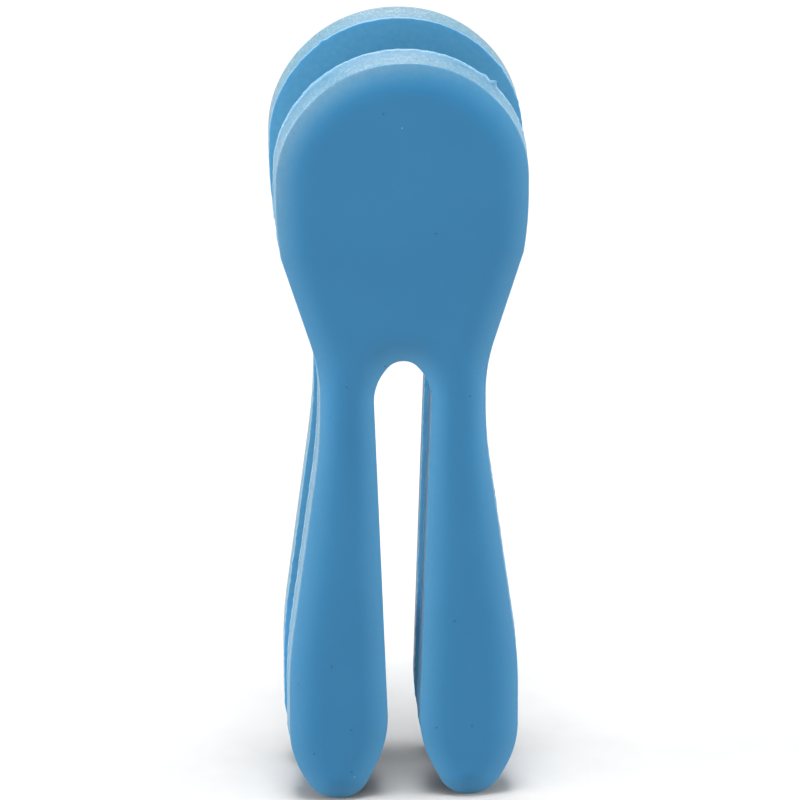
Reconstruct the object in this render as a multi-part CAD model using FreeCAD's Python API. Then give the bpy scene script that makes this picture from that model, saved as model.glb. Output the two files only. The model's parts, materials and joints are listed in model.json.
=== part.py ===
import FreeCAD, Part
import math
import os

from FreeCAD import Vector

# A spring clothespin: two forked levers on one hinge pin, held shut by a torsion spring.
# All sizes are in millimetres and degrees.
# Frame: +Z runs up the levers, from the leg tips to the round heads. X runs across them.
# Y runs through them: the front lever is on the -Y side and the rear lever on the +Y side.
# The origin is in the middle of the four leg tips, at their lowest point.

# Lever plate
LEVER_LENGTH = 80.5
HEAD_HALF_WIDTH = 12.2
WAIST_HALF_WIDTH = 8.05
LEG_OUTER_X = 11.22
SLOT_TOP_Z = 48.3
SLOT_HALF_WIDTH_TOP = 2.87
SLOT_HALF_WIDTH_BOTTOM = 1.47
WALL_THICKNESS = 2.9
CROWN_HEIGHT = 0.9
CROWN_WIDTH = 2.8
CROWN_TRIM = 0.01  # taken off the crown's top, so that it ends in a true plane
RIM_WIDTH = 0.15
RIM_THICKNESS = 0.35

# How the two levers stand: closest at the tips, leaning apart towards the heads
LEAN_DEGREES = 1.0
TIP_HALF_GAP = 2.0

# Hinge
PIVOT_Z = 53.0
PIN_RADIUS = 1.0
PIN_LENGTH = 16.0
PIN_CHAMFER = 0.25
PRESS_INTERFERENCE = 0.02
RUNNING_CLEARANCE = 0.05
EAR_RADIUS = 2.6
EAR_THICKNESS = 1.9
EAR_GAP = 0.3
EAR_ROOT_FILLET = 1.4
FRONT_EAR_X = 3.65
REAR_EAR_X = FRONT_EAR_X + EAR_THICKNESS + EAR_GAP

# Torsion spring
WIRE_RADIUS = 0.6
COIL_RADIUS = 1.8
COIL_PITCH = 1.25
WHOLE_TURNS = 4
SPRING_LEG_TILT = 2.75
SPRING_LEG_LENGTH = 15.0
SPRING_BEND_RADIUS = 8.0

# Ribs that keep each spring leg in line on its lever's inner face
GUIDE_RIB_WIDTH = 0.7
GUIDE_RIB_HEIGHT = 0.9
GUIDE_RIB_CLEARANCE = 0.15
GUIDE_RIB_LOW_Z = 60.5
GUIDE_RIB_LENGTH = 8.0

# Toothed jaw pads on the inner faces of the leg tips
PAD_INSET = 0.8
PAD_TOP_Z = 16.5
PAD_RAMP_LENGTH = 3.5
PAD_CLEARANCE = 0.07
TOOTH_PITCH = 1.5
TOOTH_HEIGHT = 0.5

# Round marks that the moulding tool's ejector pins leave on the inner faces
EJECTOR_MARK_RADIUS = 1.4
EJECTOR_MARK_DEPTH = 0.12
EJECTOR_MARKS = [(-6.0, 71.5), (6.0, 71.5), (-6.2, 28.0), (6.2, 28.0)]

# How far an added feature reaches into the plate, and how far a trimming solid reaches past it
BURIED = 0.6
OVERSIZE = 20.0

X_AXIS = Vector(1, 0, 0)
Y_AXIS = Vector(0, 1, 0)


def right_side_corners():
    """(x, z, rounding radius) at each corner of the right side, from the slot's top round to the head."""
    return [
        (0.9, SLOT_TOP_Z, 1.75),
        (SLOT_HALF_WIDTH_TOP, SLOT_TOP_Z - 2.45, 5.6),
        (SLOT_HALF_WIDTH_BOTTOM, 6.4, 12.5),
        (4.4, 0.0, 3.0),
        (8.38, 0.0, 3.2),
        (LEG_OUTER_X, 4.95, 11.0),
        (LEG_OUTER_X, 15.4, 50.0),
        (WAIST_HALF_WIDTH, 39.8, 60.0),
        (WAIST_HALF_WIDTH, 47.5, 20.0),
        (11.75, 59.9, 3.2),
        (HEAD_HALF_WIDTH, 63.6, 45.0),
        (HEAD_HALF_WIDTH, 73.2, 12.7),
        (4.95, LEVER_LENGTH, 11.6),
    ]


def corner_arc(before, corner, after, radius):
    """The arc of this radius that touches both sides of a corner."""
    to_before = (before - corner).normalize()
    to_after = (after - corner).normalize()
    half_angle = to_before.getAngle(to_after) / 2
    reach = radius / math.tan(half_angle)
    inward = (to_before + to_after).normalize()
    centre = corner + inward * (radius / math.sin(half_angle))
    return Part.Arc(corner + to_before * reach, centre - inward * radius, corner + to_after * reach)


def lever_outline():
    """The lever's outline as a face in the XZ plane, symmetric about X = 0."""
    right = right_side_corners()
    left = [(-x, z, radius) for x, z, radius in reversed(right)]
    corners = right + left
    points = [Vector(x, 0, z) for x, z, radius in corners]
    arcs = []
    for index, (x, z, radius) in enumerate(corners):
        after = points[(index + 1) % len(points)]
        arcs.append(corner_arc(points[index - 1], points[index], after, radius))
    edges = []
    for index, arc in enumerate(arcs):
        following = arcs[(index + 1) % len(arcs)]
        edges.append(arc.toShape())
        edges.append(Part.LineSegment(arc.EndPoint, following.StartPoint).toShape())
    return Part.Face(Part.Wire(edges))


def slab(low_y, high_y):
    """A large block between two Y levels, for trimming."""
    size = LEVER_LENGTH + 2 * OVERSIZE
    return Part.makeBox(size, high_y - low_y, size, Vector(-size / 2, low_y, -OVERSIZE))


def crown(outline):
    """The soft crowned layer on a lever's outer side, on top of its straight walls."""
    wall_top = -WALL_THICKNESS
    block = outline.extrude(Vector(0, wall_top - CROWN_WIDTH, 0))
    outer_edges = [edge for edge in block.Edges if edge.BoundBox.YMax < wall_top - CROWN_WIDTH / 2]
    rounded = block.makeFillet(CROWN_WIDTH, outer_edges)
    layer = rounded.common(slab(wall_top - OVERSIZE, wall_top))
    flatten = FreeCAD.Matrix()
    flatten.move(0, -wall_top, 0)
    flatten.scale(1, CROWN_HEIGHT / CROWN_WIDTH, 1)
    flatten.move(0, wall_top, 0)
    flattened = layer.transformGeometry(flatten)
    return flattened.common(slab(wall_top - CROWN_HEIGHT + CROWN_TRIM, wall_top + OVERSIZE))


def guide_ribs(leg_x):
    """Two low ribs on the inner face, one each side of a spring leg."""
    offset = WIRE_RADIUS + GUIDE_RIB_CLEARANCE + GUIDE_RIB_WIDTH / 2
    ribs = []
    for x in (leg_x - offset, leg_x + offset):
        corner = Vector(x - GUIDE_RIB_WIDTH / 2, -BURIED, GUIDE_RIB_LOW_Z)
        ribs.append(Part.makeBox(GUIDE_RIB_WIDTH, GUIDE_RIB_HEIGHT + BURIED, GUIDE_RIB_LENGTH, corner))
    return ribs


def ejector_marks():
    """Shallow round marks to cut from the inner face."""
    return [
        Part.makeCylinder(EJECTOR_MARK_RADIUS, OVERSIZE, Vector(x, -EJECTOR_MARK_DEPTH, z), Y_AXIS)
        for x, z in EJECTOR_MARKS
    ]


def flat_lever(spring_leg_x):
    """A front lever lying in the XZ plane, inner face at Y = 0 and outer side towards -Y."""
    outline = lever_outline()
    rim = outline.makeOffset2D(RIM_WIDTH).extrude(Vector(0, -RIM_THICKNESS, 0))
    walls = outline.extrude(Vector(0, -WALL_THICKNESS, 0))
    plate = walls.fuse([rim, crown(outline)]).removeSplitter()
    return plate.fuse(guide_ribs(spring_leg_x)).cut(ejector_marks())


def stand_up(flat):
    """Lean a flat lever outwards and move it to its place on the -Y side."""
    lean = math.radians(LEAN_DEGREES)
    lever = flat.copy()
    lever.rotate(Vector(0, 0, 0), X_AXIS, LEAN_DEGREES)
    lift = RIM_WIDTH * math.cos(lean) + RIM_THICKNESS * math.sin(lean)
    lever.translate(Vector(0, -TIP_HALF_GAP, lift))
    return lever


def half_gap(z):
    """Distance from the middle plane to a lever's inner face at this height."""
    return TIP_HALF_GAP + z * math.tan(math.radians(LEAN_DEGREES))


def ear(low_x, bore_radius):
    """One hinge ear of a lever on the -Y side, with its bore and a filleted root."""
    root_y = -half_gap(PIVOT_Z)
    fillet_start_y = root_y + EAR_ROOT_FILLET
    buried_y = root_y - BURIED
    diagonal = EAR_ROOT_FILLET * (1 - math.sqrt(0.5))
    flare = EAR_RADIUS + EAR_ROOT_FILLET

    def point(y, height):
        return Vector(low_x, y, PIVOT_Z + height)

    edges = [
        Part.Arc(point(0, -EAR_RADIUS), point(EAR_RADIUS, 0), point(0, EAR_RADIUS)).toShape(),
        Part.makeLine(point(0, EAR_RADIUS), point(fillet_start_y, EAR_RADIUS)),
        Part.Arc(
            point(fillet_start_y, EAR_RADIUS),
            point(root_y + diagonal, EAR_RADIUS + diagonal),
            point(root_y, flare),
        ).toShape(),
        Part.makeLine(point(root_y, flare), point(buried_y, flare)),
        Part.makeLine(point(buried_y, flare), point(buried_y, -flare)),
        Part.makeLine(point(buried_y, -flare), point(root_y, -flare)),
        Part.Arc(
            point(root_y, -flare),
            point(root_y + diagonal, -EAR_RADIUS - diagonal),
            point(fillet_start_y, -EAR_RADIUS),
        ).toShape(),
        Part.makeLine(point(fillet_start_y, -EAR_RADIUS), point(0, -EAR_RADIUS)),
    ]
    body = Part.Face(Part.Wire(edges)).extrude(Vector(EAR_THICKNESS, 0, 0))
    bore_start = Vector(low_x - BURIED, 0, PIVOT_Z)
    bore = Part.makeCylinder(bore_radius, EAR_THICKNESS + 2 * BURIED, bore_start, X_AXIS)
    return body.cut(bore)


def ears(inner_x, bore_radius):
    """The pair of hinge ears of a lever on the -Y side, from this distance either side of the middle."""
    return [ear(inner_x, bore_radius), ear(-inner_x - EAR_THICKNESS, bore_radius)]


def jaw_pads(tooth_offset):
    """The toothed pads of a lever on the -Y side; tooth_offset moves its teeth up by this much."""
    buried_y = -half_gap(0) - 2 * BURIED
    teeth = int(PAD_TOP_Z / TOOTH_PITCH)
    face_y = -PAD_CLEARANCE
    profile = [Vector(-OVERSIZE, buried_y, -BURIED), Vector(-OVERSIZE, face_y, -BURIED)]
    for index in range(teeth):
        low_z = index * TOOTH_PITCH + tooth_offset
        profile.append(Vector(-OVERSIZE, face_y - TOOTH_HEIGHT / 2, low_z))
        profile.append(Vector(-OVERSIZE, face_y + TOOTH_HEIGHT / 2, low_z + TOOTH_PITCH / 2))
    profile.append(Vector(-OVERSIZE, face_y - TOOTH_HEIGHT / 2, teeth * TOOTH_PITCH + tooth_offset))
    profile.append(Vector(-OVERSIZE, buried_y, PAD_TOP_Z + PAD_RAMP_LENGTH))
    strip = Part.Face(Part.makePolygon(profile + profile[:1])).extrude(Vector(2 * OVERSIZE, 0, 0))
    plan = lever_outline().makeOffset2D(-PAD_INSET).extrude(Vector(0, -OVERSIZE, 0))
    return strip.common(plan)


def mirrored(shape):
    """The same shape on the other side of the middle plane."""
    return shape.mirror(Vector(0, 0, 0), Y_AXIS)


def front_lever():
    lever = stand_up(flat_lever(-spring_leg_x()))
    lever = lever.fuse(ears(FRONT_EAR_X, PIN_RADIUS + RUNNING_CLEARANCE))
    return lever.fuse(jaw_pads(0.0))


def rear_lever():
    lever = stand_up(flat_lever(spring_leg_x()))
    lever = lever.fuse(ears(REAR_EAR_X, PIN_RADIUS - PRESS_INTERFERENCE))
    return mirrored(lever.fuse(jaw_pads(TOOTH_PITCH / 2)))


def hinge_pin():
    start = Vector(-PIN_LENGTH / 2, 0, PIVOT_Z)
    pin = Part.makeCylinder(PIN_RADIUS, PIN_LENGTH, start, X_AXIS)
    ends = [edge for edge in pin.Edges if len(edge.Vertexes) == 1]
    return pin.makeChamfer(PIN_CHAMFER, ends)


def coil_length():
    """Length of the coil along the pin, between the wire's centres."""
    return COIL_PITCH * (WHOLE_TURNS + 0.5 - SPRING_LEG_TILT / 180)


def helix_angle():
    return math.atan(COIL_PITCH / (2 * math.pi * COIL_RADIUS))


def spring_leg_x():
    """Distance of each spring leg's centre line from the middle."""
    return coil_length() / 2 + SPRING_BEND_RADIUS * (1 - math.cos(helix_angle()))


def spring_end(side):
    """Edges of the wire's centre line from a coil end to a leg's tip, for side -1 (front) or +1 (rear)."""
    tilt = math.radians(SPRING_LEG_TILT)
    upward = Vector(0, side * math.sin(tilt), math.cos(tilt))
    outward = Vector(side, 0, 0)
    coil_end = Vector(side * coil_length() / 2, side * COIL_RADIUS * math.cos(tilt), PIVOT_Z)
    coil_end.z -= COIL_RADIUS * math.sin(tilt)

    def bend_point(angle):
        turned = helix_angle() - angle
        along = SPRING_BEND_RADIUS * (math.sin(helix_angle()) - math.sin(turned))
        across = SPRING_BEND_RADIUS * (math.cos(turned) - math.cos(helix_angle()))
        return coil_end + upward * along + outward * across

    bend_end = bend_point(helix_angle())
    bend = Part.Arc(coil_end, bend_point(helix_angle() / 2), bend_end).toShape()
    leg = Part.makeLine(bend_end, bend_end + upward * SPRING_LEG_LENGTH)
    return bend, leg


def coil_path():
    """The coil's centre line about the pin, from the front leg's side to the rear leg's side."""
    start_angle = math.radians(180 + SPRING_LEG_TILT)
    across = Vector(0, math.cos(start_angle), math.sin(start_angle))
    along_wire = X_AXIS.cross(across)
    start = Vector(-coil_length() / 2, 0, PIVOT_Z)
    place = FreeCAD.Matrix(
        across.x, along_wire.x, X_AXIS.x, start.x,
        across.y, along_wire.y, X_AXIS.y, start.y,
        across.z, along_wire.z, X_AXIS.z, start.z,
        0, 0, 0, 1,
    )
    helix = Part.makeHelix(COIL_PITCH, coil_length(), COIL_RADIUS)
    return helix.transformed(place).Edges


def torsion_spring():
    front_bend, front_leg = spring_end(-1)
    rear_bend, rear_leg = spring_end(1)
    edges = [front_leg, front_bend] + coil_path() + [rear_bend, rear_leg]
    path = Part.Wire(Part.sortEdges(edges)[0])
    leg_start, leg_tip = [vertex.Point for vertex in front_leg.Vertexes]
    section = Part.Wire(Part.makeCircle(WIRE_RADIUS, leg_tip, leg_tip - leg_start))
    return path.makePipeShell([section], True, False)


NODES = {
    "front_lever": front_lever,
    "rear_lever": rear_lever,
    "hinge_pin": hinge_pin,
    "torsion_spring": torsion_spring,
}

os.makedirs("parts", exist_ok=True)
for name, make in NODES.items():
    shape = make()
    solids = shape.Solids
    if len(solids) != 1 or not shape.isValid():
        raise ValueError(f"{name} is {len(solids)} solids, valid: {shape.isValid()}")
    box = solids[0].optimalBoundingBox()
    print(f"{name}: {solids[0].Volume:.1f} mm3, x {box.XMin:.2f} {box.XMax:.2f}, "
          f"y {box.YMin:.2f} {box.YMax:.2f}, z {box.ZMin:.3f} {box.ZMax:.3f}")
    solids[0].exportStep(f"parts/{name}.step")
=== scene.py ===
import json
import math

import bmesh
import bpy
import numpy as np
from mathutils import Matrix, Vector, kdtree, noise
from mathutils.geometry import delaunay_2d_cdt


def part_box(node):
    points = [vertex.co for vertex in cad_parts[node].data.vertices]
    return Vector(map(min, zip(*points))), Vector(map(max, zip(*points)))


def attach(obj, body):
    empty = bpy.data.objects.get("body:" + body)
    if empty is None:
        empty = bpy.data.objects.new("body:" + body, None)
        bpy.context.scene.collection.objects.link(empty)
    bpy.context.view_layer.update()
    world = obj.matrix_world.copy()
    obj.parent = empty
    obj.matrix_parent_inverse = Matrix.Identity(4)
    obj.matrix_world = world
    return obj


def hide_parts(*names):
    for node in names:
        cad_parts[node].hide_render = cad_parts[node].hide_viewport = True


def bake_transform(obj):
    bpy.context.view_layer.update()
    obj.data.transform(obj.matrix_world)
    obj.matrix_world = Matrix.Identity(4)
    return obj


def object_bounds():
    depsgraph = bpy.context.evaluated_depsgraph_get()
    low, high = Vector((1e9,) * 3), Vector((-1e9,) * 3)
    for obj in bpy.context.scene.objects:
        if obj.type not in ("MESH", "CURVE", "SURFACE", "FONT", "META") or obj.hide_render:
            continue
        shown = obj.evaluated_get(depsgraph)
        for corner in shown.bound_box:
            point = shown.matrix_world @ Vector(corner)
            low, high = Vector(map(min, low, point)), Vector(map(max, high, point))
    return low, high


# A blue plastic spring clothespin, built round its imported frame: two forked levers, the hinge pin
# and the torsion spring. Lengths are in millimetres until a mesh is made, and MM turns them into
# metres. Frame: +Z runs up the levers, X across them, and the front lever is on the -Y side.

MM = 0.001

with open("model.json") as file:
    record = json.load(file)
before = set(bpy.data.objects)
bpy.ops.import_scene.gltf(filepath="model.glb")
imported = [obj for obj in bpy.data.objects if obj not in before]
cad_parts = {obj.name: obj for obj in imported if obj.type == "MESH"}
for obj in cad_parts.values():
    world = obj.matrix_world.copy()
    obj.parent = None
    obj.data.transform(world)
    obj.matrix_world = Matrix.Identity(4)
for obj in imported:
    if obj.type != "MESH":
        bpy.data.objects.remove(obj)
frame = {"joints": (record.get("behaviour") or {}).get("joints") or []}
cad_low, cad_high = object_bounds()

# Hinge, from the frame
PIVOT_Z = frame["joints"][0]["pos_m"][2] / MM

# Making and cleaning of the meshes
ROUND_SIDES = 64
ARC_STEPS = 60
BEVEL_SEGMENTS = 2
BEVEL_FROM_DEGREES = 30
SHARP_DEGREES = 34
MERGE_DISTANCE = 0.003
GAP_SIDES = 4
TOLERANCE = 1e-6

# Lever plate
HEAD_TOP_Z = 80.5
SLOT_TOP_Z = 48.3
OUTLINE_SPACING = 0.22
WALL_THICKNESS = 2.9
CROWN_HEIGHT = 0.89
CROWN_WIDTH = 3.6
CROWN_STEPS = 14
CROWN_EDGE = [(0.02, 0.07), (0.07, 0.12), (0.14, 0.15)]  # (inset, rise) round the crown's outer edge
ROOM_SMOOTHING = 6
INNER_FACE_INSET = 0.5
FILL_SPACING = 1.2
LEAN = math.radians(1.0)
TIP_HALF_GAP = 2.0
LIFT = 0.156  # stands the leaning lever's rim on Z = 0

# Parting-line rim round the inner face's edge, with burrs as (x, z, height)
RIM_MAX = 0.15
RIM_MIN = 0.03
RIM_DEPTH = 0.34
RIM_FRONT_CHAMFER = (0.03, 0.04)
RIM_BACK_START = 0.12
RIM_BACK_STEP = (0.6, 0.03)
GROOVE = (0.02, 0.02)
RIM_MEAN = 0.085
RIM_WAVE_SIZE = 1.9
RIM_WAVE_HEIGHT = 0.03
RIM_GRAIN_SIZE = 0.45
RIM_GRAIN_HEIGHT = 0.06
BURR_RADIUS = 0.3
FRONT_BURRS = [(9.3, 76.8, 0.40), (8.5, 77.6, 0.16), (-8.7, 77.4, 0.10), (10.9, 58.6, 0.12)]
REAR_BURRS = [(-7.4, 78.6, 0.12), (10.6, 75.2, 0.10), (-10.9, 60.1, 0.10)]

# Unevenness of the walls, which fades out towards the crown
WALL_START = 0.12
WALL_RINGS = 9
MOTTLE_FADE = 1.0
MOTTLE_HEIGHT = 0.012
MOTTLE_SIZE = 0.9

# Hinge ears
EAR_RADIUS = 2.6
EAR_THICKNESS = 1.9
EAR_ROOT_FILLET = 1.4
EAR_STEPS = 24
EAR_SOFTENING = 0.12
FRONT_EAR_X = 3.65
REAR_EAR_X = 5.85
FRONT_BORE_RADIUS = 1.05
REAR_BORE_RADIUS = 0.98
BURIED = 0.6

# Jaw pads
PAD_INSET = 0.8
PAD_TOP_Z = 16.5
PAD_RAMP_LENGTH = 3.5
PAD_CLEARANCE = 0.07
TOOTH_PITCH = 1.5
TOOTH_HEIGHT = 0.5
PAD_SOFTENING = 0.07
OVERSIZE = 20.0

# Guide ribs and ejector marks of the inner face
RIB_WIDTH = 0.7
RIB_HEIGHT = 0.9
RIB_CLEARANCE = 0.15
RIB_LOW_Z = 60.5
RIB_LENGTH = 8.0
RIB_SOFTENING = 0.15
MARK_RADIUS = 1.4
MARK_DEPTH = 0.12
MARKS = [(-6.0, 71.5), (6.0, 71.5), (-6.2, 28.0), (6.2, 28.0)]

# Torsion spring
WIRE_RADIUS = 0.6
COIL_RADIUS = 1.8
COIL_PITCH = 1.25
WHOLE_TURNS = 4
LEG_TILT = math.radians(2.75)
LEG_LENGTH = 15.0
BEND_RADIUS = 8.0
WIRE_SIDES = 20
STEPS_PER_TURN = 30
WIRE_END_ROUNDING = 0.12
BEND_STEPS = 6
LEG_STEPS = 10

# Hinge pin's ends
PIN_END = 0.25
PIN_END_STEPS = 4

# Frost of the walls, paler in part as painted sheen, and painted sheen on the crown's edge, heavier
# towards the head's upper left, as shares of the walls' colour. The walls' share goes by depth behind
# the inner face, the sheen by rise above the walls. Both fade beside the slot.
WALL_REACH = 0.3
RIM_MARGIN = 0.01
RIM_END_MARGIN = 0.04
WALL_FROST_AND_SHEEN = [(0.0, 1.0), (RIM_DEPTH + 0.03, 1.0), (RIM_DEPTH + 0.12, 0.75), (1.0, 0.85), (1.7, 1.0)]
# Scales of the walls' share: the rear lever's walls are painted paler than the front's, as painted light
FRONT_FROST_AND_SHEEN = 0.85
REAR_FROST_AND_SHEEN = 1.0
SHEEN_RISES = (0.05, 0.15, 0.55, 0.8)
SHEEN_DECAY = 3
# Painted sheen on the crown's edge, with more of it towards the head's upper left
EDGE_PAINTED_SHEEN = 0.2
CORNER_PAINTED_SHEEN = 0.8
SHEEN_CORNER_START = 0.5
SLOT_MARGIN = 1
SLOT_FADE_X = (3.0, 3.7)
SLOT_WALL_SHARE = 0.12

# Painted light: paler blue on the crown's edge, more at its upper left, and on the slot's walls, which
# the legs shade, as shares of the inner face's colour, by the same rises as the sheen
CROWN_PAINTED_LIGHT = 0.22
CORNER_PAINTED_LIGHT = 0.3
SLOT_PAINTED_LIGHT = 0.45
PAINTED_LIGHT_SHARES = (1, 1, 0.4, 0)

# Colours, as linear RGB
FACE_BLUE_DEEP = (0.005, 0.133, 0.285, 1)
FACE_BLUE_LIGHT = (0.008, 0.146, 0.308, 1)
# Paler blue of the inner faces, painted light where the levers shade each other
INSIDE_PAINTED_LIGHT_BLUE = (0.085, 0.31, 0.50, 1)
# Walls' colour: a frosted finish, made paler in part as painted sheen
WALL_BLUE_DEEP = (0.048, 0.125, 0.178, 1)
WALL_BLUE_LIGHT = (0.100, 0.182, 0.228, 1)
WALL_FLECK = (0.34, 0.43, 0.48, 1)
# Painted highlight along the parting-line rim
RIM_PAINTED_HIGHLIGHT = (0.11, 0.20, 0.27, 1)
SPECK_DARK = (0.010, 0.030, 0.055, 1)
SPECK_PALE = (0.35, 0.50, 0.60, 1)
FLOOR_GREY = (0.36, 0.36, 0.36, 1)
FLOOR_PALE = (0.40, 0.40, 0.40, 1)
STEEL_DULL = (0.22, 0.22, 0.23, 1)

# Noises as (feature size in millimetres, detail), the ranges taken of them and what these become,
# and specks as (cell, radius, share of the cells)
NOISE_ROUGHNESS = 0.55
NOISE_MIDDLE = (0.3, 0.7)
NOISE_WIDE = (0.2, 0.8)
BROAD_NOISE = (14.0, 2.0)
PATCH_NOISE = (0.5, 4.0)
FLECK_NOISE = (0.12, 2.0)
GRAIN_NOISE = (0.22, 2.0)
INSIDE_SHARES = (0.75, 1.0)
SPARKLE_BY_FLECK = (0.53, 0.67, 0.0, 0.85)
SPARKLE_BY_PATCH = (0.4, 0.6, 0.2, 0.9)
SPARKLE_BY_WALL = (0.6, 0.85, 0.0, 1.0)
SPECK_CORE = 0.6
DARK_SPECKS = (1.7, 0.15, 0.22)
PALE_SPECKS = (2.3, 0.13, 0.15)
DARK_SPECK_STRENGTH = 0.55
PALE_SPECK_STRENGTH = 0.25

# Plastic's surface, with heights in millimetres
FACE_ROUGHNESS = (0.40, 0.48)
WALL_EXTRA_ROUGHNESS = 0.08
PLASTIC_IOR = 1.49
SUBSURFACE_WEIGHT = 0.2
SUBSURFACE_RADIUS = (0.3, 0.8, 1.2)
SUBSURFACE_SCALE = 1.0
GRAIN_STRENGTH = 0.12
GRAIN_HEIGHT = 0.02
PATCH_STRENGTH = 0.5
PATCH_HEIGHT = 0.08

# Steel, with (light, dark, stretch of the drawn lines, roughness) of each piece
STEEL_LINE_NOISE = (0.12, 3.0)
STEEL_SPOT_NOISE = (0.9, 4.0)
STEEL_SPOT_RANGE = (0.58, 0.72, 0.0, 0.45)
STEEL_LINE_STRENGTH = 0.25
STEEL_LINE_HEIGHT = 0.01
STEEL_ROUGHNESS_SPREAD = 0.06
STEEL_SPOT_ROUGHNESS = 0.3
PIN_STEEL = ((0.62, 0.63, 0.64, 1), (0.45, 0.46, 0.47, 1), (0.05, 1, 1), 0.28)
WIRE_STEEL = ((0.58, 0.59, 0.60, 1), (0.40, 0.41, 0.43, 1), (1, 0.3, 0.3), 0.34)

# Floor
FIBRE_NOISE = (3.0, 4.0)
FLOOR_ROUGHNESS = 0.9

# Camera and studio, in metres and degrees, with the lens in millimetres, and lights as
# (name, azimuth, elevation, size, strength)
CAMERA_AZIMUTH = -3.6
CAMERA_ELEVATION = 27.0
CAMERA_ROLL = -0.25
CAMERA_DISTANCE = 1.270
CAMERA_AIM = (0.00008, 0.0, 0.04126)
CAMERA_LENS = 587.5
CAMERA_CLIP = (0.05, 20)
FLOOR_RADIUS = 3.0
FLOOR_SIDES = 96
WORLD_STRENGTH = 0.2
LIGHT_DISTANCE = 1.8
LIGHTS = [
    ("left", -84, 10, 0.6, 1.6),
    ("right", 85, 10, 0.6, 1.4),
    ("top", 0, 86, 0.6, 1.7),
    ("front", 0, 62, 1.2, 0.3),
    ("low_front", -24, 8, 0.9, 0.2),
    ("back", 180, 30, 1.2, 0.5),
]

# Right side of the lever's outline as (x, z, rounding radius), from the slot's top round to the head
RIGHT_SIDE = [
    (0.9, SLOT_TOP_Z, 1.75),
    (2.87, SLOT_TOP_Z - 2.45, 5.6),
    (1.47, 6.4, 12.5),
    (4.4, 0.0, 3.0),
    (8.38, 0.0, 3.2),
    (11.22, 4.95, 11.0),
    (11.22, 15.4, 50.0),
    (8.05, 39.8, 60.0),
    (8.05, 47.5, 20.0),
    (11.75, 59.9, 3.2),
    (12.2, 63.6, 45.0),
    (12.2, 73.2, 12.7),
    (4.95, HEAD_TOP_Z, 11.6),
]


# ---------------------------------------------------------------- meshes

def make_object(name, points, faces):
    """A new mesh object from points in millimetres."""
    mesh = bpy.data.meshes.new(name)
    mesh.from_pydata([Vector(p) * MM for p in points], [], faces)
    mesh.validate()
    made = bpy.data.objects.new(name, mesh)
    bpy.context.scene.collection.objects.link(made)
    return made


def face_outwards(obj):
    """Turn all face normals of a closed mesh outwards."""
    work = bmesh.new()
    work.from_mesh(obj.data)
    bmesh.ops.recalc_face_normals(work, faces=work.faces)
    work.to_mesh(obj.data)
    work.free()
    return obj


def bake_modifiers(obj):
    """Put the modifiers' result in the object's own mesh."""
    graph = bpy.context.evaluated_depsgraph_get()
    made = bpy.data.meshes.new_from_object(obj.evaluated_get(graph))
    obj.modifiers.clear()
    obj.data = made
    return obj


def soften_edges(obj, width):
    """A small rounded bevel on every sharp edge, for a moulded look."""
    bevel = obj.modifiers.new("soften", "BEVEL")
    bevel.width = width * MM
    bevel.segments = BEVEL_SEGMENTS
    bevel.limit_method = "ANGLE"
    bevel.angle_limit = math.radians(BEVEL_FROM_DEGREES)
    return bake_modifiers(obj)


def combine(base, operation, tools):
    """Unite, cut or intersect base with each tool, and remove the tools."""
    for tool in tools:
        step = base.modifiers.new("combine", "BOOLEAN")
        step.operation = operation
        step.solver = "EXACT"
        step.object = tool
        bake_modifiers(base)
        bpy.data.objects.remove(tool)
    return base


def cleaned(obj):
    """Merge points closer than MERGE_DISTANCE, and close the small gaps that Booleans leave."""
    work = bmesh.new()
    work.from_mesh(obj.data)
    bmesh.ops.remove_doubles(work, verts=work.verts, dist=MERGE_DISTANCE * MM)
    bmesh.ops.dissolve_degenerate(work, edges=work.edges, dist=MERGE_DISTANCE * MM)
    open_edges = [edge for edge in work.edges if edge.is_boundary]
    bmesh.ops.holes_fill(work, edges=open_edges, sides=GAP_SIDES)
    bmesh.ops.recalc_face_normals(work, faces=work.faces)
    work.to_mesh(obj.data)
    work.free()
    return obj


def shade_smooth(obj, sharp_degrees):
    """Smooth shading, with edges above this angle kept sharp."""
    obj.data.shade_smooth()
    obj.data.set_sharp_from_angle(angle=math.radians(sharp_degrees))
    return obj


def prism(name, profile, low_x, high_x):
    """A closed prism along X from a (y, z) profile."""
    count = len(profile)
    points = [(x, y, z) for x in (low_x, high_x) for y, z in profile]
    faces = [list(range(count)), list(range(2 * count - 1, count - 1, -1))]
    for i in range(count):
        j = (i + 1) % count
        faces.append([i, j, count + j, count + i])
    return face_outwards(make_object(name, points, faces))


def lathe(name, profile, sides):
    """A closed solid turned about the X axis from an (x, radius) profile that starts and ends on it."""
    points = [(profile[0][0], 0, 0)]
    for x, radius in profile[1:-1]:
        for k in range(sides):
            angle = 2 * math.pi * k / sides
            points.append((x, radius * math.cos(angle), radius * math.sin(angle)))
    points.append((profile[-1][0], 0, 0))
    last = len(points) - 1
    faces = []
    for k in range(sides):
        j = (k + 1) % sides
        faces.append([0, 1 + j, 1 + k])
        faces.append([last, last - sides + k, last - sides + j])
        for r in range(len(profile) - 3):
            low = 1 + r * sides
            faces.append([low + k, low + j, low + sides + j, low + sides + k])
    return face_outwards(make_object(name, points, faces))


# ---------------------------------------------------------------- outline

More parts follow.
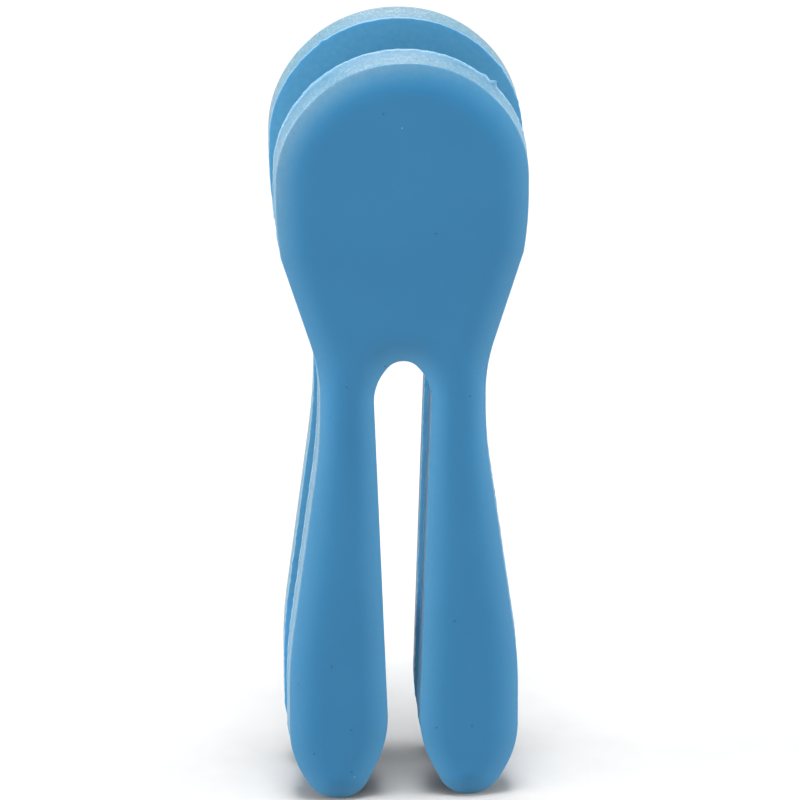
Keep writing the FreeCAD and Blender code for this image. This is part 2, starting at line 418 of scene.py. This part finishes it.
def corner_arc(before, corner, after, radius, steps):
    """Points along the arc of this radius that touches both sides of a corner."""
    to_before = (before - corner) / np.linalg.norm(before - corner)
    to_after = (after - corner) / np.linalg.norm(after - corner)
    half_angle = math.acos(np.clip(to_before @ to_after, -1, 1)) / 2
    reach = radius / math.tan(half_angle)
    middle = (to_before + to_after) / np.linalg.norm(to_before + to_after)
    centre = corner + middle * radius / math.sin(half_angle)
    start = corner + to_before * reach - centre
    end = corner + to_after * reach - centre
    turn = math.atan2(start[0] * end[1] - start[1] * end[0], start @ end)
    across = np.array([-start[1], start[0]])
    angles = np.linspace(0, turn, steps)
    return centre + np.outer(np.cos(angles), start) + np.outer(np.sin(angles), across)


def evenly_spaced(points, spacing):
    """The same closed line with points about this far apart."""
    closed = np.vstack([points, points[:1]])
    lengths = np.linalg.norm(np.diff(closed, axis=0), axis=1)
    along = np.concatenate([[0], np.cumsum(lengths)])
    count = round(along[-1] / spacing)
    places = np.arange(count) * along[-1] / count
    return np.column_stack([np.interp(places, along, closed[:, k]) for k in (0, 1)])


def lever_outline(spacing):
    """Evenly spaced (x, z) points round the lever's outline."""
    corners = RIGHT_SIDE + [(-x, z, radius) for x, z, radius in reversed(RIGHT_SIDE)]
    points = np.array([corner[:2] for corner in corners])
    arcs = []
    for i, corner in enumerate(corners):
        after = points[(i + 1) % len(points)]
        arcs.append(corner_arc(points[i - 1], points[i], after, corner[2], ARC_STEPS))
    return evenly_spaced(np.vstack(arcs), spacing)


def outward_normals(outline):
    """Unit normals pointing out of a closed outline."""
    following, before = np.roll(outline, -1, axis=0), np.roll(outline, 1, axis=0)
    along = following - before
    along /= np.linalg.norm(along, axis=1)[:, None]
    area = np.sum(outline[:, 0] * following[:, 1] - following[:, 0] * outline[:, 1])
    return np.column_stack([along[:, 1], -along[:, 0]]) * np.sign(area)


def room_inside(outline, normals):
    """Radius of the largest circle inside the outline that touches it at each point."""
    offsets = outline[None, :, :] - outline[:, None, :]
    depth = -np.einsum("ijk,ik->ij", offsets, normals)
    squared = np.sum(offsets ** 2, axis=2)
    radius = np.where(depth > TOLERANCE, squared / np.maximum(2 * depth, TOLERANCE), np.inf)
    return radius.min(axis=1)


def smoothed(values, passes):
    """A closed row of values, averaged with their neighbours."""
    for _ in range(passes):
        values = (np.roll(values, 1) + 2 * values + np.roll(values, -1)) / 4
    return values


def filled(ring, spacing):
    """(x, z) points and triangles that fill a closed ring, with a regular grid of points inside it."""
    low, high = ring.min(axis=0), ring.max(axis=0)
    grid = []
    for row, z in enumerate(np.arange(low[1], high[1], spacing * math.sqrt(0.75))):
        for x in np.arange(low[0] + spacing / 2 * (row % 2), high[0], spacing):
            grid.append((x, z))
    grid = np.array(grid)
    distance = np.sqrt(((grid[:, None, :] - ring[None, :, :]) ** 2).sum(axis=2)).min(axis=1)
    inside = np.zeros(len(grid), bool)
    for (x1, z1), (x2, z2) in zip(ring, np.roll(ring, -1, axis=0)):
        crosses = (z1 > grid[:, 1]) != (z2 > grid[:, 1])
        if z1 != z2:
            inside ^= crosses & (grid[:, 0] < (x2 - x1) * (grid[:, 1] - z1) / (z2 - z1) + x1)
    grid = grid[inside & (distance > spacing / 2)]
    points = [Vector(p) for p in np.vstack([ring, grid])]
    found = delaunay_2d_cdt(points, [], [list(range(len(ring)))], 1, TOLERANCE)
    return np.array([tuple(p) for p in found[0]]), found[2], len(ring)


# ---------------------------------------------------------------- levers

def rim_width(outline, burr_places):
    """Width of the rim at each outline point, uneven as moulded plastic's is, with small burrs."""
    burrs = []
    for burr_x, burr_z, height in burr_places:
        away = np.hypot(outline[:, 0] - burr_x, outline[:, 1] - burr_z)
        burrs.append((*outline[away.argmin()], height))
    widths = []
    for x, z in outline:
        place = Vector((x, z, 0))
        width = RIM_MEAN + RIM_WAVE_HEIGHT * noise.noise(place / RIM_WAVE_SIZE)
        width += RIM_GRAIN_HEIGHT * noise.noise(place / RIM_GRAIN_SIZE)
        width = min(RIM_MAX, max(RIM_MIN, width))
        for burr_x, burr_z, height in burrs:
            away = math.hypot(x - burr_x, z - burr_z)
            width += height * math.exp(-(away / BURR_RADIUS) ** 2)
        widths.append(width)
    return np.array(widths)


def plate(name, burr_places):
    """A lever's plate lying flat, with its inner face at Y = 0 and its crowned side towards -Y."""
    outline = lever_outline(OUTLINE_SPACING)
    normals = outward_normals(outline)
    room = smoothed(np.minimum(room_inside(outline, normals), CROWN_WIDTH), ROOM_SMOOTHING)
    rim = rim_width(outline, burr_places)

    rings = []

    def add_ring(outset, depth):
        """Add the outline, moved outwards by outset, at a depth behind the inner face."""
        place = outline + normals * np.broadcast_to(outset, len(outline))[:, None]
        depths = np.broadcast_to(depth, len(outline))
        rings.append(np.column_stack([place[:, 0], -depths, place[:, 1]]))

    add_ring(-INNER_FACE_INSET, 0.0)
    add_ring(rim - RIM_FRONT_CHAMFER[0], 0.0)
    add_ring(rim, RIM_FRONT_CHAMFER[1])
    add_ring(rim, RIM_DEPTH - RIM_BACK_START)
    add_ring(rim * RIM_BACK_STEP[0], RIM_DEPTH - RIM_BACK_STEP[1])
    add_ring(-GROOVE[0], RIM_DEPTH + GROOVE[1])
    for depth in np.linspace(RIM_DEPTH + WALL_START, WALL_THICKNESS, WALL_RINGS):
        fade = math.sin(math.pi * min(1, (WALL_THICKNESS - depth) / MOTTLE_FADE) / 2)
        local = [noise.noise(Vector((x, z, depth)) / MOTTLE_SIZE) for x, z in outline]
        add_ring(-MOTTLE_HEIGHT * (1 + np.array(local)) * fade, depth)
    for inset, rise in CROWN_EDGE:
        add_ring(-inset, WALL_THICKNESS + rise)
    edge_inset, edge_rise = CROWN_EDGE[-1]
    for step in range(1, CROWN_STEPS):
        share = step / CROWN_STEPS
        inset = edge_inset + (room - edge_inset) * share
        rise = edge_rise + (CROWN_HEIGHT - edge_rise) * share * (2 - share)
        add_ring(-inset, WALL_THICKNESS + rise)

    count = len(outline)
    points = np.vstack(rings)
    faces = []
    for r in range(len(rings) - 1):
        for i in range(count):
            j = (i + 1) % count
            faces.append([r * count + i, r * count + j, (r + 1) * count + j, (r + 1) * count + i])

    def close(ring_index, depth):
        """Fill the plane inside a ring."""
        nonlocal points
        ring = rings[ring_index][:, [0, 2]]
        flat, triangles, kept = filled(ring, FILL_SPACING)
        start = len(points)
        inner = flat[kept:]
        inner_points = np.column_stack([inner[:, 0], np.full(len(inner), -depth), inner[:, 1]])
        points = np.vstack([points, inner_points])
        base = ring_index % len(rings) * count
        for triangle in triangles:
            faces.append([base + i if i < kept else start + i - kept for i in triangle])

    close(0, 0.0)
    close(len(rings) - 1, WALL_THICKNESS + CROWN_HEIGHT)
    return face_outwards(make_object(name, points, faces))


def half_gap(z):
    """Distance from the middle plane to a lever's inner face at this height."""
    return TIP_HALF_GAP + z * math.tan(LEAN)


def hinge_ear(low_x, bore_radius):
    """One hinge ear of an upright front lever, with a filleted root and its bore."""
    root_y = -half_gap(PIVOT_Z)
    upper = []
    for k in range(EAR_STEPS + 1):
        angle = math.pi / 2 * k / EAR_STEPS
        upper.append((EAR_RADIUS * math.cos(angle), EAR_RADIUS * math.sin(angle)))
    flare = EAR_RADIUS + EAR_ROOT_FILLET
    for k in range(EAR_STEPS // 2 + 1):
        angle = math.pi * k / EAR_STEPS
        upper.append((
            root_y + EAR_ROOT_FILLET * (1 - math.sin(angle)),
            flare - EAR_ROOT_FILLET * math.cos(angle),
        ))
    upper.append((root_y - BURIED, flare))
    lower = [(y, -height) for y, height in reversed(upper[1:])]
    profile = [(y, PIVOT_Z + height) for y, height in upper + lower]
    body = soften_edges(prism("ear", profile, low_x, low_x + EAR_THICKNESS), EAR_SOFTENING)
    far = EAR_THICKNESS + BURIED
    bore_profile = [(-BURIED, 0), (-BURIED, bore_radius), (far, bore_radius), (far, 0)]
    bore = lathe("bore", bore_profile, ROUND_SIDES)
    bore.data.transform(Matrix.Translation(Vector((low_x, 0, PIVOT_Z)) * MM))
    return combine(body, "DIFFERENCE", [bore])


def jaw_pads(tooth_offset):
    """The two toothed pads of an upright front lever; tooth_offset moves the teeth up."""
    buried_y = -half_gap(0) - 2 * BURIED
    face_y = -PAD_CLEARANCE
    valley_y, ridge_y = face_y - TOOTH_HEIGHT / 2, face_y + TOOTH_HEIGHT / 2
    teeth = int(PAD_TOP_Z / TOOTH_PITCH)
    profile = [(buried_y, -BURIED), (face_y, -BURIED)]
    for k in range(teeth):
        low_z = k * TOOTH_PITCH + tooth_offset
        profile += [(valley_y, low_z), (ridge_y, low_z + TOOTH_PITCH / 2)]
    profile.append((valley_y, teeth * TOOTH_PITCH + tooth_offset))
    profile.append((buried_y, PAD_TOP_Z + PAD_RAMP_LENGTH))
    strip = prism("pads", profile, -OVERSIZE, OVERSIZE)
    outline = lever_outline(OUTLINE_SPACING)
    inset = outline - outward_normals(outline) * PAD_INSET
    points = [(x, y, z) for y in (-OVERSIZE, OVERSIZE) for x, z in inset]
    count = len(inset)
    faces = [list(range(count)), list(range(2 * count - 1, count - 1, -1))]
    faces += [[k, (k + 1) % count, count + (k + 1) % count, count + k] for k in range(count)]
    plan = face_outwards(make_object("plan", points, faces))
    return soften_edges(combine(strip, "INTERSECT", [plan]), PAD_SOFTENING)


def guide_ribs(leg_x):
    """Two low ribs on a flat lever's inner face, one each side of a spring leg."""
    offset = WIRE_RADIUS + RIB_CLEARANCE + RIB_WIDTH / 2
    ribs = []
    for x in (leg_x - offset, leg_x + offset):
        low, high = RIB_LOW_Z, RIB_LOW_Z + RIB_LENGTH
        profile = [(-BURIED, low), (RIB_HEIGHT, low), (RIB_HEIGHT, high), (-BURIED, high)]
        rib = prism("rib", profile, x - RIB_WIDTH / 2, x + RIB_WIDTH / 2)
        ribs.append(soften_edges(rib, RIB_SOFTENING))
    return ribs


def ejector_marks():
    """Shallow round cutters for a flat lever's inner face."""
    turn_to_y = Matrix.Rotation(math.pi / 2, 4, "Z")
    cutters = []
    for x, z in MARKS:
        profile = [(-MARK_DEPTH, 0), (-MARK_DEPTH, MARK_RADIUS), (BURIED, MARK_RADIUS), (BURIED, 0)]
        cutter = lathe("mark", profile, ROUND_SIDES)
        cutter.data.transform(Matrix.Translation(Vector((x, 0, z)) * MM) @ turn_to_y)
        cutters.append(cutter)
    return cutters


def mark_walls(obj, upright, frost_and_sheen):
    """Store each point's share of the walls' frost and painted sheen, 'wall', and of painted light,
    'inside'.
    """
    outline = lever_outline(OUTLINE_SPACING)
    tree = kdtree.KDTree(len(outline))
    for k, (x, z) in enumerate(outline):
        tree.insert((x, z, 0), k)
    tree.balance()
    flat_again = upright.inverted()
    sheen_depths = [WALL_THICKNESS + rise for rise in SHEEN_RISES]
    frost_and_sheen_shares, painted_light_shares = [], []
    for vertex in obj.data.vertices:
        flat = flat_again @ vertex.co / MM
        nearest, _, distance = tree.find((flat.x, flat.z, 0))
        depth = -flat.y
        on_wall = distance < WALL_REACH and depth > RIM_MARGIN
        on_rim = on_wall and depth < RIM_DEPTH + RIM_END_MARGIN
        on_crown = depth > WALL_THICKNESS
        on_inner_face = not on_wall and -RIM_MARGIN < depth < MARK_DEPTH + RIM_MARGIN
        by_slot = 0.0
        if nearest.y < SLOT_TOP_Z + SLOT_MARGIN:
            by_slot = np.interp(abs(nearest.x), SLOT_FADE_X, [1, 0])
        # How far the point lies towards the head's upper left, where the crown's painted sheen is heavier
        corner = (flat.z - PIVOT_Z - flat.x) / (HEAD_TOP_Z - PIVOT_Z) - SHEEN_CORNER_START
        corner = np.clip(corner, 0, 1)

        share = frost_and_sheen * np.interp(depth, *zip(*WALL_FROST_AND_SHEEN)) * (1 - by_slot * (1 - SLOT_WALL_SHARE))
        # On the crown the walls' colour is a painted sheen, fading out with rise above the walls
        if on_crown:
            painted_sheen = EDGE_PAINTED_SHEEN + CORNER_PAINTED_SHEEN * corner
            sheen_shares = [share, painted_sheen, painted_sheen / SHEEN_DECAY, 0]
            share = (1 - by_slot) * np.interp(depth, sheen_depths, sheen_shares)
        frost_and_sheen_shares.append(share if on_wall or on_crown else 0.0)

        # Painted light: the rim and the inner face take the paler blue, and the crown and the slot's
        # walls some of it
        painted_light = 1.0 if on_rim or on_inner_face else 0.0
        if on_crown or (on_wall and not on_rim and by_slot > 0):
            painted_light = CROWN_PAINTED_LIGHT + CORNER_PAINTED_LIGHT * corner + by_slot * (SLOT_PAINTED_LIGHT - CROWN_PAINTED_LIGHT)
            painted_light *= np.interp(depth, sheen_depths, PAINTED_LIGHT_SHARES)
        painted_light_shares.append(painted_light)
    for attribute_name, values in (("wall", frost_and_sheen_shares), ("inside", painted_light_shares)):
        attribute = obj.data.attributes.new(attribute_name, "FLOAT", "POINT")
        attribute.data.foreach_set("value", values)


def lever(name, spring_side, ear_x, bore_radius, tooth_offset, burr_places, frost_and_sheen):
    """A whole upright lever on the -Y side."""
    made = plate(name, burr_places)
    combine(made, "UNION", guide_ribs(spring_side * spring_leg_x()))
    combine(made, "DIFFERENCE", ejector_marks())
    moved = Matrix.Translation(Vector((0, -TIP_HALF_GAP, LIFT)) * MM)
    upright = moved @ Matrix.Rotation(LEAN, 4, "X")
    made.data.transform(upright)
    ears = [hinge_ear(ear_x, bore_radius), hinge_ear(-ear_x - EAR_THICKNESS, bore_radius)]
    combine(made, "UNION", ears + [jaw_pads(tooth_offset)])
    cleaned(made)
    mark_walls(made, upright, frost_and_sheen)
    return shade_smooth(made, SHARP_DEGREES)


def mirrored(obj):
    """The same lever on the +Y side, its mirror image in the middle plane."""
    obj.data.transform(Matrix.Scale(-1, 4, (0, 1, 0)))
    obj.data.flip_normals()
    return obj


# ---------------------------------------------------------------- steel pieces

def hinge_pin():
    """A straight dowel pin with rounded ends, to the size of its node."""
    low, high = (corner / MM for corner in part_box("hinge_pin"))
    radius = (high.z - low.z) / 2
    quarter = [math.pi / 2 * k / PIN_END_STEPS for k in range(PIN_END_STEPS + 1)]
    rounding = []
    for angle in reversed(quarter):
        inset, drop = PIN_END * (1 - math.sin(angle)), PIN_END * (1 - math.cos(angle))
        rounding.append((inset, radius - drop))
    start = [(low.x + inset, r) for inset, r in rounding]
    end = [(high.x - inset, r) for inset, r in reversed(rounding)]
    pin = lathe("steel_hinge_pin", [(low.x, 0)] + start + end + [(high.x, 0)], ROUND_SIDES)
    pin.data.transform(Matrix.Translation(Vector((0, 0, PIVOT_Z)) * MM))
    return shade_smooth(pin, SHARP_DEGREES)


def coil_length():
    """Length of the coil along the pin, between the wire's centres."""
    return COIL_PITCH * (WHOLE_TURNS + 0.5 - LEG_TILT / math.pi)


def helix_angle():
    """Slope of the coil's wire against a plain ring."""
    return math.atan(COIL_PITCH / (2 * math.pi * COIL_RADIUS))


def spring_leg_x():
    """Distance of each spring leg's centre line from the middle."""
    return coil_length() / 2 + BEND_RADIUS * (1 - math.cos(helix_angle()))


def wire_path():
    """The wire's centre line about the pivot, from the front leg's tip to the rear leg's tip."""
    turned = 2 * math.pi * (WHOLE_TURNS + 0.5) - 2 * LEG_TILT
    steps = round(turned / (2 * math.pi) * STEPS_PER_TURN)
    coil = []
    for k in range(steps + 1):
        share = k / steps
        angle = math.pi + LEG_TILT + turned * share
        x = coil_length() * (share - 0.5)
        coil.append((x, COIL_RADIUS * math.cos(angle), COIL_RADIUS * math.sin(angle)))
    upward = np.array([0, math.sin(LEG_TILT), math.cos(LEG_TILT)])
    outward = np.array([1, 0, 0])
    rear = []
    for k in range(1, BEND_STEPS + 1):
        left = helix_angle() * (1 - k / BEND_STEPS)
        along = BEND_RADIUS * (math.sin(helix_angle()) - math.sin(left))
        across = BEND_RADIUS * (math.cos(left) - math.cos(helix_angle()))
        rear.append(np.array(coil[-1]) + upward * along + outward * across)
    leg_start = rear[-1]
    for k in range(1, LEG_STEPS + 1):
        rear.append(leg_start + upward * LEG_LENGTH * k / LEG_STEPS)
    front = [point * (-1, -1, 1) for point in reversed(rear)]
    return np.vstack([front, coil, rear])


def tube(name, path, radius, sides, end_rounding):
    """A closed round tube along a path, with softened ends."""
    path = np.array(path, float)
    along = np.gradient(path, axis=0)
    along /= np.linalg.norm(along, axis=1)[:, None]
    side = np.cross(along[0], (1, 0, 0))
    points = []
    for k, (place, direction) in enumerate(zip(path, along)):
        side = side - (side @ direction) * direction
        side /= np.linalg.norm(side)
        across = np.cross(direction, side)
        for j in range(sides):
            angle = 2 * math.pi * j / sides
            points.append(place + radius * (math.cos(angle) * side + math.sin(angle) * across))
    count = len(path)
    faces = []
    for k in range(count - 1):
        for j in range(sides):
            i = (j + 1) % sides
            faces.append([k * sides + j, k * sides + i, (k + 1) * sides + i, (k + 1) * sides + j])
    faces.append(list(range(sides)))
    faces.append([(count - 1) * sides + j for j in reversed(range(sides))])
    made = face_outwards(make_object(name, points, faces))
    return soften_edges(made, end_rounding)


def torsion_spring():
    """The whole spring: its coil round the pin and a leg for each lever."""
    path = wire_path() + (0, 0, PIVOT_Z)
    spring = tube("wire_torsion_spring", path, WIRE_RADIUS, WIRE_SIDES, WIRE_END_ROUNDING)
    return shade_smooth(spring, SHARP_DEGREES)


# ---------------------------------------------------------------- materials

def add_node(tree, kind, inputs, **settings):
    """A node with its settings, and each named input set to a value or joined to a socket."""
    made = tree.nodes.new(kind)
    for setting, value in settings.items():
        setattr(made, setting, value)
    for place, value in inputs.items():
        if isinstance(value, bpy.types.NodeSocket):
            tree.links.new(value, made.inputs[place])
        else:
            made.inputs[place].default_value = value
    return made


def new_material(name):
    """A material, its node tree and its Principled shader."""
    material = bpy.data.materials.new(name)
    material.use_nodes = True
    return material, material.node_tree, material.node_tree.nodes["Principled BSDF"]


def noise_value(tree, where, size, detail):
    """Fractal noise from 0 to 1, with features of this size in millimetres."""
    inputs = {"Vector": where, "Scale": 1 / (size * MM), "Detail": detail, "Roughness": NOISE_ROUGHNESS}
    return add_node(tree, "ShaderNodeTexNoise", inputs).outputs["Fac"]


def ranged(tree, value, from_low, from_high, to_low, to_high):
    """value mapped from one range to another, held at its ends."""
    inputs = {
        "Value": value,
        "From Min": from_low, "From Max": from_high,
        "To Min": to_low, "To Max": to_high,
    }
    return add_node(tree, "ShaderNodeMapRange", inputs).outputs["Result"]


def mixed(tree, share, first, second, blend_type="MIX"):
    """Two colours mixed; share 0 gives the first."""
    made = add_node(tree, "ShaderNodeMix", {}, data_type="RGBA", blend_type=blend_type)
    sockets = {"Factor_Float": share, "A_Color": first, "B_Color": second}
    for identifier, value in sockets.items():
        socket = next(i for i in made.inputs if i.identifier == identifier)
        if isinstance(value, bpy.types.NodeSocket):
            tree.links.new(value, socket)
        else:
            socket.default_value = value
    return next(o for o in made.outputs if o.identifier == "Result_Color")


def computed(tree, operation, first, second):
    """Result of a maths node on two values or sockets."""
    return add_node(tree, "ShaderNodeMath", {0: first, 1: second}, operation=operation).outputs["Value"]


def specks(tree, where, cell, radius, share):
    """1 inside small round specks, one in some of the cells of this size in millimetres."""
    inputs = {"Vector": where, "Scale": 1 / (cell * MM), "Randomness": 1.0}
    cells = add_node(tree, "ShaderNodeTexVoronoi", inputs)
    dot = ranged(tree, cells.outputs["Distance"], radius / cell * SPECK_CORE, radius / cell, 1.0, 0.0)
    chosen = add_node(tree, "ShaderNodeSeparateColor", {"Color": cells.outputs["Color"]})
    used = computed(tree, "GREATER_THAN", chosen.outputs["Red"], 1 - share)
    return computed(tree, "MULTIPLY", dot, used)


def plastic():
    """Blue moulded polypropylene: satin faces, inner faces paler as painted light, and frosted, rougher
    walls paler in part as painted sheen.
    """
    material, tree, shader = new_material("blue_polypropylene")
    where = add_node(tree, "ShaderNodeTexCoord", {}).outputs["Object"]
    wall = add_node(tree, "ShaderNodeAttribute", {}, attribute_name="wall").outputs["Fac"]
    inside = add_node(tree, "ShaderNodeAttribute", {}, attribute_name="inside").outputs["Fac"]
    broad = noise_value(tree, where, *BROAD_NOISE)
    patches = noise_value(tree, where, *PATCH_NOISE)
    flecks = noise_value(tree, where, *FLECK_NOISE)
    grain = noise_value(tree, where, *GRAIN_NOISE)

    face = mixed(tree, ranged(tree, broad, *NOISE_MIDDLE, 0.0, 1.0), FACE_BLUE_DEEP, FACE_BLUE_LIGHT)
    # Walls' frosted colour, paler in part as painted sheen
    frost_and_sheen_colour = mixed(tree, ranged(tree, patches, *NOISE_WIDE, 0.0, 1.0), WALL_BLUE_DEEP, WALL_BLUE_LIGHT)
    sparkle = ranged(tree, flecks, *SPARKLE_BY_FLECK)
    sparkle = computed(tree, "MULTIPLY", sparkle, ranged(tree, patches, *SPARKLE_BY_PATCH))
    # Painted highlight on the rim, and painted light on the crown and the slot's walls
    frost_and_sheen_colour = mixed(tree, inside, frost_and_sheen_colour, RIM_PAINTED_HIGHLIGHT)
    sparkle = computed(tree, "MULTIPLY", sparkle, ranged(tree, wall, *SPARKLE_BY_WALL))
    frost_and_sheen_colour = mixed(tree, sparkle, frost_and_sheen_colour, WALL_FLECK)
    # Inner faces painted a paler blue, as painted light
    inside_share = ranged(tree, patches, *NOISE_WIDE, *INSIDE_SHARES)
    colour = mixed(tree, inside_share, face, INSIDE_PAINTED_LIGHT_BLUE)
    colour = mixed(tree, inside, face, colour)
    colour = mixed(tree, wall, colour, frost_and_sheen_colour)
    dark = specks(tree, where, *DARK_SPECKS)
    pale = specks(tree, where, *PALE_SPECKS)
    colour = mixed(tree, computed(tree, "MULTIPLY", dark, DARK_SPECK_STRENGTH), colour, SPECK_DARK)
    colour = mixed(tree, computed(tree, "MULTIPLY", pale, PALE_SPECK_STRENGTH), colour, SPECK_PALE)
    tree.links.new(colour, shader.inputs["Base Color"])

    roughness = ranged(tree, patches, *NOISE_MIDDLE, *FACE_ROUGHNESS)
    wall_extra = computed(tree, "MULTIPLY", wall, WALL_EXTRA_ROUGHNESS)
    roughness = computed(tree, "ADD", roughness, wall_extra)
    tree.links.new(roughness, shader.inputs["Roughness"])
    shader.inputs["IOR"].default_value = PLASTIC_IOR
    shader.inputs["Subsurface Weight"].default_value = SUBSURFACE_WEIGHT
    shader.inputs["Subsurface Radius"].default_value = SUBSURFACE_RADIUS
    shader.inputs["Subsurface Scale"].default_value = SUBSURFACE_SCALE * MM

    fine = add_node(tree, "ShaderNodeBump", {
        "Height": grain, "Strength": GRAIN_STRENGTH, "Distance": GRAIN_HEIGHT * MM,
    })
    wall_relief = computed(tree, "MULTIPLY", patches, wall)
    relief = add_node(tree, "ShaderNodeBump", {
        "Height": wall_relief, "Strength": PATCH_STRENGTH, "Distance": PATCH_HEIGHT * MM,
        "Normal": fine.outputs["Normal"],
    })
    tree.links.new(relief.outputs["Normal"], shader.inputs["Normal"])
    return material


def steel(name, light, dark, stretch, roughness):
    """Drawn steel with fine lines along the wire or pin, and a few dull spots."""
    material, tree, shader = new_material(name)
    where = add_node(tree, "ShaderNodeTexCoord", {}).outputs["Object"]
    along = add_node(tree, "ShaderNodeMapping", {"Vector": where, "Scale": stretch}).outputs["Vector"]
    lines = noise_value(tree, along, *STEEL_LINE_NOISE)
    spots = noise_value(tree, where, *STEEL_SPOT_NOISE)
    colour = mixed(tree, ranged(tree, lines, *NOISE_MIDDLE, 0.0, 1.0), dark, light)
    dull = ranged(tree, spots, *STEEL_SPOT_RANGE)
    colour = mixed(tree, dull, colour, STEEL_DULL)
    tree.links.new(colour, shader.inputs["Base Color"])
    shader.inputs["Metallic"].default_value = 1.0
    smoothest, roughest = roughness - STEEL_ROUGHNESS_SPREAD, roughness + STEEL_ROUGHNESS_SPREAD
    varied = ranged(tree, lines, *NOISE_MIDDLE, smoothest, roughest)
    spot_extra = computed(tree, "MULTIPLY", dull, STEEL_SPOT_ROUGHNESS)
    tree.links.new(computed(tree, "ADD", varied, spot_extra), shader.inputs["Roughness"])
    bump = add_node(tree, "ShaderNodeBump", {
        "Height": lines, "Strength": STEEL_LINE_STRENGTH, "Distance": STEEL_LINE_HEIGHT * MM,
    })
    tree.links.new(bump.outputs["Normal"], shader.inputs["Normal"])
    return material


def floor_paper():
    """Plain pale studio paper."""
    material, tree, shader = new_material("studio_paper")
    where = add_node(tree, "ShaderNodeTexCoord", {}).outputs["Object"]
    fibres = noise_value(tree, where, *FIBRE_NOISE)
    tree.links.new(mixed(tree, fibres, FLOOR_GREY, FLOOR_PALE), shader.inputs["Base Color"])
    shader.inputs["Roughness"].default_value = FLOOR_ROUGHNESS
    return material


# ---------------------------------------------------------------- studio

def direction(azimuth, elevation):
    """Unit vector from the object towards a viewer or a light; azimuth 0 is in front, on the -Y side."""
    a, e = math.radians(azimuth), math.radians(elevation)
    return Vector((math.sin(a) * math.cos(e), -math.cos(a) * math.cos(e), math.sin(e)))


def studio_floor():
    """A round floor at the height of the object's lowest point."""
    work = bmesh.new()
    bmesh.ops.create_circle(work, cap_ends=True, segments=FLOOR_SIDES, radius=FLOOR_RADIUS)
    mesh = bpy.data.meshes.new("floor")
    work.to_mesh(mesh)
    work.free()
    floor = bpy.data.objects.new("floor", mesh)
    bpy.context.scene.collection.objects.link(floor)
    floor.location.z = cad_low.z
    floor.data.materials.append(floor_paper())


def area_light(name, azimuth, elevation, size, strength):
    """A soft square light facing the object; strength 1 makes a white surface that faces it white."""
    light = bpy.data.lights.new(name, "AREA")
    light.size = size
    light.energy = strength * (math.pi * LIGHT_DISTANCE) ** 2
    lamp = bpy.data.objects.new(name, light)
    bpy.context.scene.collection.objects.link(lamp)
    towards = direction(azimuth, elevation)
    lamp.location = (cad_low + cad_high) / 2 + towards * LIGHT_DISTANCE
    lamp.rotation_euler = (-towards).to_track_quat("-Z", "Y").to_euler()


def studio_camera():
    """A long-lens camera in front of the object and above it."""
    data = bpy.data.cameras.new("camera")
    data.lens = CAMERA_LENS
    data.clip_start, data.clip_end = CAMERA_CLIP
    camera = bpy.data.objects.new("camera", data)
    bpy.context.scene.collection.objects.link(camera)
    back = direction(CAMERA_AZIMUTH, CAMERA_ELEVATION)
    facing = (-back).to_track_quat("-Z", "Y").to_matrix().to_4x4()
    roll = Matrix.Rotation(math.radians(CAMERA_ROLL), 4, "Z")
    place = Vector(CAMERA_AIM) + back * CAMERA_DISTANCE
    camera.matrix_world = Matrix.Translation(place) @ facing @ roll
    bpy.context.scene.camera = camera


def studio_world():
    """A plain white world, dim enough to leave the light to the lamps."""
    world = bpy.data.worlds.new("studio")
    world.use_nodes = True
    background = world.node_tree.nodes["Background"]
    background.inputs["Color"].default_value = (1, 1, 1, 1)
    background.inputs["Strength"].default_value = WORLD_STRENGTH
    bpy.context.scene.world = world
    bpy.context.scene.view_settings.view_transform = "Standard"


# ---------------------------------------------------------------- the object

blue = plastic()
front = lever("front_lever_shell", -1, FRONT_EAR_X, FRONT_BORE_RADIUS, 0.0, FRONT_BURRS, FRONT_FROST_AND_SHEEN)
rear = lever("rear_lever_shell", 1, REAR_EAR_X, REAR_BORE_RADIUS, TOOTH_PITCH / 2, REAR_BURRS, REAR_FROST_AND_SHEEN)
mirrored(rear)
for piece, body in ((front, "front"), (rear, "rear")):
    piece.data.materials.clear()
    piece.data.materials.append(blue)
    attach(piece, body)
    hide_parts(body + "_lever")

pin = hinge_pin()
pin.data.materials.append(steel("drawn_steel", *PIN_STEEL))
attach(pin, "rear")
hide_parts("hinge_pin")

spring = torsion_spring()
spring.data.materials.append(steel("zinc_wire", *WIRE_STEEL))
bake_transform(spring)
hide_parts("torsion_spring")

studio_floor()
studio_world()
for light in LIGHTS:
    area_light(*light)
studio_camera()
